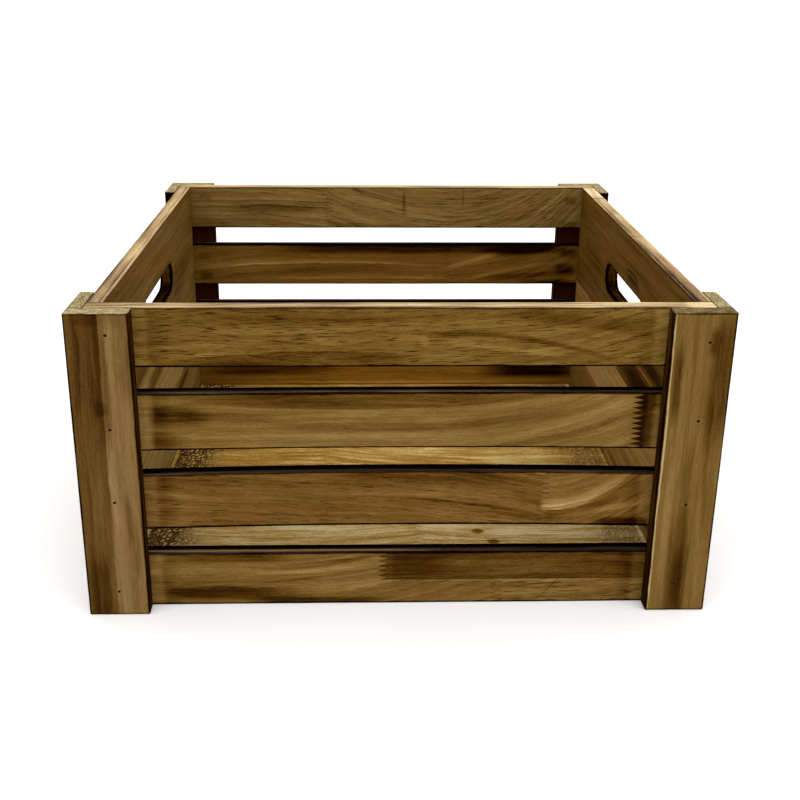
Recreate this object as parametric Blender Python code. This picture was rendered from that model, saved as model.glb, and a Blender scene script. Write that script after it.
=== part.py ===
"""Slatted wooden orchard crate with solid end panels, nailed together from planed pine.

Metres, +Z up. The origin is on the ground under the middle of the crate and the slatted front faces -Y.
Four slats run along the front and four along the back. A post covers the slats at each corner, a narrower
batten covers their end grain, and two panels with hand slots close the ends. Three boards make the floor.
"""

import math

import bmesh
import bpy
from mathutils import Vector

# Driving dimensions
WIDTH = 0.440
DEPTH = 0.400
HEIGHT = 0.228
SLAT_HEIGHT = 0.0425
# Height of each slat's lower edge, from slat 1 down. The slats were spaced by eye, so the faces differ a little.
SLAT_BOTTOMS = {"front": (0.1855, 0.1235, 0.0622, 0.0), "back": (0.1855, 0.1252, 0.0628, 0.0)}
SLAT_THICKNESS = 0.011
POST_WIDTH = 0.0425
POST_THICKNESS = 0.011
BATTEN_WIDTH = 0.0335
BATTEN_THICKNESS = 0.010
PANEL_THICKNESS = 0.0115
FLOOR_BOARDS = 3
FLOOR_THICKNESS = 0.010
FLOOR_LIFT = 0.002
FLOOR_SEAM = 0.0008
ARRIS = 0.0006
JOINT_GAP = 0.0003

# Hand slot through each end panel
SLOT_LENGTH = 0.122
SLOT_HEIGHT = 0.0245
SLOT_TOP = 0.185
SLOT_ARC_STEPS = 10

# Brads
BRAD_SHANK_RADIUS = 0.0006
BRAD_HEAD_RADIUS = 0.0009
BRAD_HEAD_THICKNESS = 0.0007
BRAD_TIP = 0.0015
BRAD_SET = 0.0002
BRAD_CLEARANCE = 0.0003
BRAD_SIDES = 8
BRAD_SMOOTH_ANGLE = math.radians(40)
HOLE_MOUTH_LIFT = 0.0015
POST_BRAD_LENGTH = 0.032
POST_BRAD_INSET = 0.019
# Where the heads of a post's brads sit, from slat 1 down: the height and the inset from the post's edge.
# The front ones were driven by eye, so they stand a little askew to reach the middle of the panel's edge.
FRONT_LEFT_HEADS = ((0.2125, 0.027), (0.145, 0.025), (0.090, 0.024), (0.019, 0.022))
FRONT_RIGHT_HEADS = ((0.207, 0.017), (0.150, 0.019), (0.086, 0.021), (0.022, 0.023))
BATTEN_BRAD_LENGTH = 0.020
BATTEN_BRAD_INSET = 0.023
BATTEN_BRAD_HEIGHTS = {"low": 0.052, "high": 0.176}
FLOOR_BRAD_LENGTH = 0.030
FLOOR_BRAD_SPREAD = 0.030

# Planes where the pieces meet, measured from the middle of the crate
POST_BACK = DEPTH / 2 - POST_THICKNESS
SLAT_BACK = POST_BACK - SLAT_THICKNESS
BATTEN_BACK = WIDTH / 2 - BATTEN_THICKNESS
PANEL_BACK = BATTEN_BACK - PANEL_THICKNESS
PANEL_MIDDLE = PANEL_BACK + PANEL_THICKNESS / 2
FLOOR_PITCH = 2 * SLAT_BACK / FLOOR_BOARDS

FACES = {"front": -1, "back": 1}
ENDS = {"left": -1, "right": 1}

BURNT_PINE = (0.17, 0.093, 0.030)
DARK_BURNT_PINE = (0.12, 0.062, 0.022)
PALE_PINE = (0.42, 0.27, 0.10)
STEEL = (0.30, 0.28, 0.26)
WOOD_ROUGHNESS = 0.62
STEEL_ROUGHNESS = 0.45
STEEL_METALLIC = 0.9


def clear_scene():
    for old in list(bpy.data.objects):
        bpy.data.objects.remove(old, do_unlink=True)


def add_material(piece, colour, roughness, metallic=0.0):
    material = bpy.data.materials.new(piece.name)
    material.use_nodes = True
    shader = material.node_tree.nodes["Principled BSDF"]
    shader.inputs["Base Color"].default_value = (*colour, 1.0)
    shader.inputs["Roughness"].default_value = roughness
    shader.inputs["Metallic"].default_value = metallic
    piece.data.materials.append(material)


def add_object(name, shape, location):
    mesh = bpy.data.meshes.new(name)
    bmesh.ops.recalc_face_normals(shape, faces=shape.faces)
    shape.to_mesh(mesh)
    shape.free()
    piece = bpy.data.objects.new(name, mesh)
    piece.location = location
    bpy.context.scene.collection.objects.link(piece)
    return piece


def board(name, x_limits, y_limits, z_limits, colour):
    """A planed board with every arris broken, between two limits on each axis."""
    limits = (x_limits, y_limits, z_limits)
    low = Vector([min(pair) for pair in limits])
    high = Vector([max(pair) for pair in limits])
    shape = bmesh.new()
    bmesh.ops.create_cube(shape, size=1.0)
    bmesh.ops.scale(shape, vec=high - low, verts=shape.verts)
    bmesh.ops.bevel(shape, geom=shape.edges, offset=ARRIS, segments=1, affect="EDGES")
    piece = add_object(name, shape, (low + high) / 2)
    add_material(piece, colour, WOOD_ROUGHNESS)
    return piece


def turned(name, profile, location, direction):
    """A solid of revolution: profile holds (radius, depth) points, and depth runs along direction."""
    shape = bmesh.new()
    rings = []
    for radius, depth in profile:
        count = BRAD_SIDES if radius > 0 else 1
        turns = [2 * math.pi * step / count for step in range(count)]
        ring = [shape.verts.new((radius * math.cos(t), radius * math.sin(t), depth)) for t in turns]
        rings.append(ring)
    for ring, after in zip(rings, rings[1:]):
        for step in range(BRAD_SIDES):
            here = [ring[step % len(ring)], ring[(step + 1) % len(ring)]]
            there = [after[(step + 1) % len(after)], after[step % len(after)]]
            shape.faces.new(dict.fromkeys(here + there))
    piece = add_object(name, shape, location)
    piece.rotation_euler = Vector(direction).to_track_quat("Z", "Y").to_euler()
    return piece


def make_cutter(piece):
    piece.hide_render = True
    piece.display_type = "WIRE"
    return piece


def brad(name, point, direction, length, set_depth=BRAD_SET):
    """A brad whose head is set just under the face at point, and the cutter for the hole it sits in."""
    direction = Vector(direction)
    head = Vector(point) + direction * set_depth
    shank_end = length - BRAD_TIP
    profile = [
        (0, 0),
        (BRAD_HEAD_RADIUS, 0),
        (BRAD_HEAD_RADIUS, BRAD_HEAD_THICKNESS),
        (BRAD_SHANK_RADIUS, BRAD_HEAD_THICKNESS),
        (BRAD_SHANK_RADIUS, shank_end),
        (0, length),
    ]
    piece = turned(name, profile, head, direction)
    piece.data.shade_smooth()
    piece.data.set_sharp_from_angle(angle=BRAD_SMOOTH_ANGLE)
    add_material(piece, STEEL, STEEL_ROUGHNESS, STEEL_METALLIC)

    mouth = -HOLE_MOUTH_LIFT
    seat = BRAD_HEAD_THICKNESS + BRAD_CLEARANCE
    wide = BRAD_HEAD_RADIUS + BRAD_CLEARANCE
    narrow = BRAD_SHANK_RADIUS + BRAD_CLEARANCE
    bottom = length + BRAD_CLEARANCE
    hole = [(0, mouth), (wide, mouth), (wide, seat), (narrow, seat), (narrow, bottom), (0, bottom)]
    return make_cutter(turned(name + "_hole", hole, head, direction))


def cut(piece, cutters):
    """Takes the cutters out of a piece."""
    holes = bpy.data.collections.new(piece.name + "_cutters")
    for cutter in cutters:
        holes.objects.link(cutter)
    drill = piece.modifiers.new("holes", "BOOLEAN")
    drill.operation = "DIFFERENCE"
    drill.solver = "EXACT"
    drill.operand_type = "COLLECTION"
    drill.collection = holes


def slats():
    made = {}
    half_length = BATTEN_BACK - JOINT_GAP
    for face, side in FACES.items():
        for number, bottom in enumerate(SLAT_BOTTOMS[face], start=1):
            made[face, number] = board(
                f"{face}_slat_{number}",
                (-half_length, half_length),
                (side * (POST_BACK - JOINT_GAP), side * SLAT_BACK),
                (bottom, bottom + SLAT_HEIGHT),
                BURNT_PINE,
            )
    return made


def posts():
    made = {}
    for face, side in FACES.items():
        for end, hand in ENDS.items():
            made[face, end] = board(
                f"{face}_{end}_post",
                (hand * WIDTH / 2, hand * (WIDTH / 2 - POST_WIDTH)),
                (side * DEPTH / 2, side * POST_BACK),
                (0, HEIGHT),
                BURNT_PINE,
            )
    return made


def battens():
    made = {}
    outer = POST_BACK - JOINT_GAP
    for face, side in FACES.items():
        for end, hand in ENDS.items():
            made[face, end] = board(
                f"{face}_{end}_batten",
                (hand * WIDTH / 2, hand * BATTEN_BACK),
                (side * outer, side * (outer - BATTEN_WIDTH)),
                (0, HEIGHT),
                DARK_BURNT_PINE,
            )
    return made


def end_panels():
    made = {}
    reach = SLAT_BACK - JOINT_GAP
    for end, hand in ENDS.items():
        made[end] = board(
            f"{end}_end_panel",
            (hand * (BATTEN_BACK - JOINT_GAP), hand * PANEL_BACK),
            (-reach, reach),
            (0, HEIGHT),
            BURNT_PINE,
        )
    return made


def floor_middle(number):
    """Distance from the crate's middle to the middle of a floor board. Board 1 is at the front."""
    return (number - 1 - (FLOOR_BOARDS - 1) / 2) * FLOOR_PITCH


def floor_boards():
    made = {}
    half_length = PANEL_BACK - JOINT_GAP
    half_width = (FLOOR_PITCH - FLOOR_SEAM) / 2
    for number in range(1, FLOOR_BOARDS + 1):
        middle = floor_middle(number)
        made[number] = board(
            f"floor_board_{number}",
            (-half_length, half_length),
            (middle - half_width, middle + half_width),
            (FLOOR_LIFT, FLOOR_LIFT + FLOOR_THICKNESS),
            PALE_PINE,
        )
    return made


def hand_slot_cutter(end, hand):
    """A flat bar with half-round ends, standing across the panel."""
    radius = SLOT_HEIGHT / 2
    straight = SLOT_LENGTH / 2 - radius
    shape = bmesh.new()
    outline = []
    for side, start in ((1, -math.pi / 2), (-1, math.pi / 2)):
        for step in range(SLOT_ARC_STEPS + 1):
            turn = start + math.pi * step / SLOT_ARC_STEPS
            across = side * straight + radius * math.cos(turn)
            outline.append(shape.verts.new((-PANEL_THICKNESS, across, radius * math.sin(turn))))
    cap = shape.faces.new(outline)
    pulled = bmesh.ops.extrude_face_region(shape, geom=[cap])["geom"]
    moved = [item for item in pulled if isinstance(item, bmesh.types.BMVert)]
    bmesh.ops.translate(shape, vec=(2 * PANEL_THICKNESS, 0, 0), verts=moved)
    middle = (hand * PANEL_MIDDLE, 0, SLOT_TOP - radius)
    return make_cutter(add_object(f"{end}_hand_slot_cutter", shape, middle))


def post_brad_heads(face, end):
    """The height and inset of each brad head of a post, from slat 1 down."""
    if face == "front":
        return FRONT_LEFT_HEADS if end == "left" else FRONT_RIGHT_HEADS
    return [(bottom + SLAT_HEIGHT / 2, POST_BRAD_INSET) for bottom in SLAT_BOTTOMS[face]]


def nail_corners(all_posts, all_slats, panel_cutters):
    """One brad in each corner of each slat, through post and slat into the end panel's edge."""
    slat_cutters = {key: [] for key in all_slats}
    for (face, end), post in all_posts.items():
        side, hand = FACES[face], ENDS[end]
        post_cutters = []
        for number, (height, inset) in enumerate(post_brad_heads(face, end), start=1):
            point = Vector((hand * (WIDTH / 2 - inset), side * DEPTH / 2, height))
            aim = (hand * PANEL_MIDDLE, side * (DEPTH / 2 - POST_BRAD_LENGTH), height)
            direction = (Vector(aim) - point).normalized()
            rim_sink = BRAD_HEAD_RADIUS * abs(direction.x)
            set_depth = (BRAD_SET + rim_sink) / abs(direction.y)
            name = f"{face}_{end}_post_brad_{number}"
            hole = brad(name, point, direction, POST_BRAD_LENGTH, set_depth)
            post_cutters.append(hole)
            slat_cutters[face, number].append(hole)
            panel_cutters[end].append(hole)
        cut(post, post_cutters)
    for key, slat in all_slats.items():
        cut(slat, slat_cutters[key])


def nail_battens(all_battens, panel_cutters):
    """Two brads through each batten into the face of the end panel."""
    for (face, end), batten in all_battens.items():
        side, hand = FACES[face], ENDS[end]
        batten_cutters = []
        for level, height in BATTEN_BRAD_HEIGHTS.items():
            point = (hand * WIDTH / 2, side * (POST_BACK - BATTEN_BRAD_INSET), height)
            hole = brad(f"{face}_{end}_batten_brad_{level}", point, (-hand, 0, 0), BATTEN_BRAD_LENGTH)
            batten_cutters.append(hole)
            panel_cutters[end].append(hole)
        cut(batten, batten_cutters)


def nail_floor(all_floor_boards, panel_cutters):
    """Two brads through the end panel into each end of each floor board."""
    height = FLOOR_LIFT + FLOOR_THICKNESS / 2
    for number, floor_board in all_floor_boards.items():
        board_cutters = []
        for end, hand in ENDS.items():
            for label, offset in (("a", -FLOOR_BRAD_SPREAD), ("b", FLOOR_BRAD_SPREAD)):
                face_x = hand * (BATTEN_BACK - JOINT_GAP)
                point = (face_x, floor_middle(number) + offset, height)
                hole = brad(f"{end}_floor_brad_{number}{label}", point, (-hand, 0, 0), FLOOR_BRAD_LENGTH)
                board_cutters.append(hole)
                panel_cutters[end].append(hole)
        cut(floor_board, board_cutters)


def build():
    clear_scene()
    all_slats = slats()
    all_posts = posts()
    all_battens = battens()
    all_panels = end_panels()
    all_floor_boards = floor_boards()
    panel_cutters = {end: [hand_slot_cutter(end, hand)] for end, hand in ENDS.items()}
    nail_corners(all_posts, all_slats, panel_cutters)
    nail_battens(all_battens, panel_cutters)
    nail_floor(all_floor_boards, panel_cutters)
    for end, panel in all_panels.items():
        cut(panel, panel_cutters[end])


build()
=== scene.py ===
"""Looks of the slatted orchard crate: torched pine boards, dull steel brads, a white studio and the camera.

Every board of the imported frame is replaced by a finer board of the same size, with worn arrises and holes for
the brads. Metres, +Z up. Patterns on a board are stated in millimetres in the board's own terms: "along" is
the crate's own coordinate in the direction of the grain, "across" is measured from the board's lower edge and
"depth" from its outer face.
"""

import math
import random

import bmesh
import bpy
from mathutils import Matrix, Vector, noise


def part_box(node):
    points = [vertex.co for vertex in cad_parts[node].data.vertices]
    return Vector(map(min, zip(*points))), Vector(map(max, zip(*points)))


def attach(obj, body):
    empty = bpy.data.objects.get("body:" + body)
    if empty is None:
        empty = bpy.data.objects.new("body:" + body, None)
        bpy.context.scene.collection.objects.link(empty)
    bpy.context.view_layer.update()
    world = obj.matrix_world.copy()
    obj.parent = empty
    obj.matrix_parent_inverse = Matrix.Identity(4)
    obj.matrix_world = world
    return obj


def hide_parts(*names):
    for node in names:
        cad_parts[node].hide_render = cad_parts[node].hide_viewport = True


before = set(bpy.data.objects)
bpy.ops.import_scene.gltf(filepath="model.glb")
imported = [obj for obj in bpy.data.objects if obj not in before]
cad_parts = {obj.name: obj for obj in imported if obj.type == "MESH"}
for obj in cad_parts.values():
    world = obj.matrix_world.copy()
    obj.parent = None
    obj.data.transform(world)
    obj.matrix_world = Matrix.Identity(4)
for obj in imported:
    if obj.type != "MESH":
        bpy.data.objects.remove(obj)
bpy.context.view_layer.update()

MM = 0.001
X, Y, Z = range(3)

# Camera
CAMERA_PLACE = Vector((-0.0281, -0.8039, 0.4437))
CAMERA_YAW = math.radians(1.463)
CAMERA_PITCH = math.radians(17.667)
CAMERA_ROLL = math.radians(0.431)
CAMERA_LENS = 44.55
CAMERA_SENSOR = 36.0
CAMERA_SHIFT = (0.0204, -0.1515)

# Light. Screen colours in the palettes are those seen under it, so they are divided by its strength.
SKY_STRENGTH = 1.02
SUN_STRENGTH = 1.3
SUN_SPREAD = math.radians(80)
SUN_FROM = Vector((0.08, -0.52, 0.85))
STUDIO_LIGHT = 1.15

# Board meshes
ARRIS = 0.0010
ARRIS_WEAR = 0.5
ARRIS_STEPS = 3
SUPPORT = 0.0008
CELL = 0.006
SKIN_WAVE = 0.00012
END_ROUGHNESS = 0.00018
SMOOTH_ANGLE = math.radians(38)

BOW_SHARE = 0.85
FACE_TILT = 0.7
FACE_SHEEN = 0.005

# Brads, as packed: shank radius, clearance of the hole, depth of the wide part and lift of the hole's mouth
SHANK_RADIUS = 0.0006
HOLE_CLEARANCE = 0.0003
HEAD_DEPTH = 0.0010
HEAD_REACH = 0.0003
HEAD_REACH_MM = 1.0
MOUTH_LIFT = 0.0015
HOLE_SIDES = 16

# Hand slot, as packed
SLOT_LENGTH = 0.122
SLOT_HEIGHT = 0.0245
SLOT_TOP = 0.185
SLOT_RIM = 0.0010
SLOT_ARC_STEPS = 14
SLOT_RIM_STEPS = 5
SLOT_LIFT = 0.0002

# How far from a slat's ends the torch was kept off: on its outer face by the post, inside by the panel
SLAT_SHY = (40.7, 18.0)

# Studio floor
FLOOR_REACH = 9.0
FLOOR_SIDES = 96
FLOOR_DROP = -0.0002
STUDIO_WHITE = 0.985

# Finger joints
TOOTH_PITCH = 3.9
TOOTH_LENGTH = 7.8


def linear(red, green, blue):
    """The surface colour that looks like a screen colour, 0 to 255, in the studio's light."""
    parts = [value / 255 for value in (red, green, blue)]
    lights = [p / 12.92 if p <= 0.04045 else ((p + 0.055) / 1.055) ** 2.4 for p in parts]
    return tuple(light / STUDIO_LIGHT for light in lights)


# ---- shader arithmetic


class Field:
    """A number that varies over a surface: an output of a shader node, usable in formulas."""

    def __init__(self, tree, socket):
        self.tree = tree
        self.socket = socket

    def __add__(self, other):
        return calculate("ADD", self, other)

    def __sub__(self, other):
        return calculate("SUBTRACT", self, other)

    def __rsub__(self, other):
        return calculate("SUBTRACT", other, self)

    def __mul__(self, other):
        return calculate("MULTIPLY", self, other)

    def __truediv__(self, other):
        return calculate("DIVIDE", self, other)

    __radd__ = __add__
    __rmul__ = __mul__


def tree_of(values):
    return next(value.tree for value in values if isinstance(value, Field))


def feed(tree, socket, value):
    """Joins a field to a socket, or sets the socket to a plain value."""
    if isinstance(value, Field):
        tree.links.new(value.socket, socket)
    else:
        socket.default_value = value


def calculate(operation, *values, clamp=False):
    tree = tree_of(values)
    node = tree.nodes.new("ShaderNodeMath")
    node.operation = operation
    node.use_clamp = clamp
    for socket, value in zip(node.inputs, values):
        feed(tree, socket, value)
    return Field(tree, node.outputs[0])


def smaller(a, b):
    return calculate("MINIMUM", a, b)


def larger(a, b):
    return calculate("MAXIMUM", a, b)


def size_of(a):
    return calculate("ABSOLUTE", a)


def rise(value, start, end):
    """0 before start, 1 after end and a smooth step between them."""
    tree = tree_of([value, start, end])
    node = tree.nodes.new("ShaderNodeMapRange")
    node.interpolation_type = "SMOOTHSTEP"
    for socket, item in zip(node.inputs, (value, start, end)):
        feed(tree, socket, item)
    return Field(tree, node.outputs[0])


def fall(value, start, end):
    return 1.0 - rise(value, start, end)


def vector(tree, *parts):
    node = tree.nodes.new("ShaderNodeCombineXYZ")
    for socket, part in zip(node.inputs, parts):
        feed(tree, socket, part)
    return Field(tree, node.outputs[0])


def parts_of(field):
    node = field.tree.nodes.new("ShaderNodeSeparateXYZ")
    feed(field.tree, node.inputs[0], field)
    return [Field(field.tree, socket) for socket in node.outputs]


def blend_vectors(share, low, high):
    """low where share is 0, high where it is 1. low and high are vectors or triples of numbers."""
    tree = share.tree
    node = tree.nodes.new("ShaderNodeMix")
    node.data_type = "VECTOR"
    feed(tree, node.inputs["Factor"], share)
    feed(tree, node.inputs[4], low)
    feed(tree, node.inputs[5], high)
    return Field(tree, node.outputs[1])


def blend_colours(share, low, high, how="MIX"):
    tree = tree_of([share, low, high])
    node = tree.nodes.new("ShaderNodeMix")
    node.data_type = "RGBA"
    node.blend_type = how
    feed(tree, node.inputs["Factor"], share)
    for socket, value in ((node.inputs[6], low), (node.inputs[7], high)):
        feed(tree, socket, value if isinstance(value, Field) else (*value, 1.0))
    return Field(tree, node.outputs[2])


def cloud(place, sizes, shift=0.0, detail=2.0, roughness=0.55):
    """Noise from -0.5 to 0.5 whose grains are about sizes millimetres along, across and in depth."""
    tree = place[0].tree
    spot = vector(tree, *[axis / size for axis, size in zip(place, sizes)])
    node = tree.nodes.new("ShaderNodeTexNoise")
    node.noise_dimensions = "4D"
    values = {"Vector": spot, "W": shift, "Scale": 1.0, "Detail": detail, "Roughness": roughness}
    for name, value in values.items():
        feed(tree, node.inputs[name], value)
    return Field(tree, node.outputs[0]) - 0.5


def object_point(tree):
    """Where a point is on its object, in metres: fields for X, Y and Z."""
    coordinates = tree.nodes.new("ShaderNodeTexCoord")
    return parts_of(Field(tree, coordinates.outputs["Object"]))


def new_material(name):
    material = bpy.data.materials.new(name)
    material.use_nodes = True
    tree = material.node_tree
    return material, tree, tree.nodes["Principled BSDF"]


def add_bump(tree, shader, height, strength, distance):
    bump = tree.nodes.new("ShaderNodeBump")
    bump.inputs["Strength"].default_value = strength
    bump.inputs["Distance"].default_value = distance
    feed(tree, bump.inputs["Height"], height)
    tree.links.new(bump.outputs[0], shader.inputs["Normal"])


def shade(tone, palette):
    """The colour that a palette of (tone, screen colour) stops gives to a tone."""
    tree = tone.tree
    node = tree.nodes.new("ShaderNodeValToRGB")
    feed(tree, node.inputs[0], tone)
    stops = node.color_ramp.elements
    while len(stops) < len(palette):
        stops.new(0.5)
    for stop, (position, colour) in zip(stops, palette):
        stop.position = position
        stop.color = (*linear(*colour), 1.0)
    return Field(tree, node.outputs[0])


# ---- torched pine

TORCHED = (
    (0, (8, 2, 1)), (0.15, (36, 16, 2)),
    (0.3, (68, 42, 8)), (0.45, (92, 66, 23)),
    (0.6, (112, 84, 39)), (0.75, (132, 104, 56)),
    (0.9, (151, 124, 76)), (1, (176, 150, 104)),
)
GOLDEN = (
    (0, (24, 10, 2)), (0.2, (84, 50, 12)),
    (0.4, (128, 88, 26)), (0.6, (164, 122, 50)),
    (0.8, (192, 156, 84)), (1, (228, 202, 144)),
)
BARE = (
    (0, (62, 42, 32)), (0.3, (140, 112, 82)),
    (0.55, (184, 155, 112)), (0.75, (216, 189, 142)),
    (1, (250, 230, 186)),
)
# Char. Its upper, greyer stops give the painted sheen in the middle of the slats' top edges
CHARRED = (
    (0, (4, 1, 1)), (0.4, (17, 7, 4)),
    (0.7, (58, 46, 35)), (1, (122, 96, 68)),
)
END_GRAIN = (
    (0, (46, 34, 20)), (0.4, (118, 98, 64)),
    (0.7, (166, 148, 106)), (1, (216, 204, 166)),
)

# How strongly each scale of the grain changes the tone
BROAD, STREAK, FINE, SPECK, CLOUDED = 0.46, 0.42, 0.36, 0.22, 0.24
FLECK_DEPTH = 0.46
GLUE_DEPTH = 0.26
# Depth and width of the darkening at arrises: char, and painted shade for the shadow lines between boards
ARRIS_CHAR_AND_SHADE_DEPTH = 0.62
ARRIS_CHAR_AND_SHADE_WIDTH = 1.9
# Depth of the painted shade along a slat's lower edge
LOWER_EDGE_SHADE_DEPTH = 0.6
DARKEST = 0.20
DARK_SOFTNESS = 0.12
RELIEF = 0.8

# A paler ring around each nail, from its start over its middle to its end, and its strength
NAIL_RING = (0.8, 1.2, 2.4)
NAIL_RING_TONE = 0.08

# Where the crackle starts behind the sawn end of a floor board, and the size of its cells
SAWN_END = (2, 5)
CRACKLE_CELL = (3.3, 4.6, 4)


def stroke(place, at, reach, height, strength, slope, curve):
    """How much one burnt or pale mark changes the tone.

    The mark follows the line across = at[1] + slope * d + curve * d * d, with d the distance along from
    at[0]. It fades out over reach (before, after) along and over height (below, above) across.
    """
    along, across = place[:2]
    run = along - at[0]
    line = at[1] + run * (run * curve + slope)
    rest = across - line
    ends = rise(run, -reach[0], -0.35 * reach[0]) * fall(run, 0.35 * reach[1], reach[1])
    sides = rise(rest, -height[0], -0.2 * height[0]) * fall(rest, 0.2 * height[1], height[1])
    return ends * sides * strength


def knot(place, at, radius, strength):
    """How much one round knot darkens the tone."""
    run, rest = place[0] - at[0], place[1] - at[1]
    return fall(calculate("SQRT", run * run * 0.6 + rest * rest), 0.4 * radius, radius) * strength


def strokes(place, marks):
    total = place[0] * 0
    for item in marks:
        total = total + (knot if "radius" in item else stroke)(place, **item)
    return total


def tooth(across):
    """The zigzag of a finger joint, in millimetres along."""
    wave = calculate("PINGPONG", across, TOOTH_PITCH / 2)
    return (wave / (TOOTH_PITCH / 2) - 0.5) * TOOTH_LENGTH


class Stave:
    """One length of timber inside a board: where it ends along the grain, and how it looks.

    bend is (middle, left, right): the grain lines curve away from the middle, with one curvature on its
    left and one on its right.
    """

    def __init__(self, until=None, seed=0, tone=0, flecks=0.1, bend=(0, 0, 0)):
        self.until = until
        self.character = (seed, tone, flecks)
        self.bend = bend


def choose_staves(along, across, rows, glued_from):
    """The character and bend of the stave at each point, and a mask of the glue lines.

    rows lists (top, staves) from the lowest row up, and a row's staves run from left to right. The glue
    lines between the rows start at glued_from, because left of it the rows are one piece of timber.
    """
    zigzag = along - tooth(across)
    character, bend, lines = None, None, along * 0
    row_bottom = None
    for top, staves in rows:
        row_character = vector(along.tree, *staves[0].character)
        row_bend = vector(along.tree, *staves[0].bend)
        row_lines = along * 0
        for before, stave in zip(staves, staves[1:]):
            past = rise(zigzag, before.until - 0.15, before.until + 0.15)
            row_character = blend_vectors(past, row_character, stave.character)
            row_bend = blend_vectors(past, row_bend, stave.bend)
            row_lines = larger(row_lines, fall(size_of(zigzag - before.until), 0.2, 0.9))
        if row_bottom is None:
            character, bend, lines = row_character, row_bend, row_lines
        else:
            past = rise(across, row_bottom - 0.08, row_bottom + 0.08)
            character = blend_vectors(past, character, row_character)
            bend = blend_vectors(past, bend, row_bend)
            lines = larger(lines * (1 - past), row_lines * past)
            seam = fall(size_of(across - row_bottom), 0.1, 0.55)
            lines = larger(lines, seam * rise(along, glued_from, glued_from + 2))
        row_bottom = top
    return parts_of(character), parts_of(bend), lines


class Board:
    """One board of the frame: its box, which way its grain runs and which face is the outer one."""

    def __init__(self, node, kind):
        self.kind = kind
        self.low, self.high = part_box(node)
        self.axes = AXES[kind]
        self.outer_high = outer_is_high(node, kind)
        self.sizes = [(self.high[axis] - self.low[axis]) / MM for axis in self.axes]

    def place(self, point):
        """Along, across and depth in millimetres of a point, whose parts are numbers or fields."""
        grain, width, thickness = self.axes
        along = point[grain] * (1 / MM)
        across = (point[width] - self.low[width]) * (1 / MM)
        if self.outer_high:
            depth = (self.high[thickness] - point[thickness]) * (1 / MM)
        else:
            depth = (point[thickness] - self.low[thickness]) * (1 / MM)
        return along, across, depth


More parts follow.
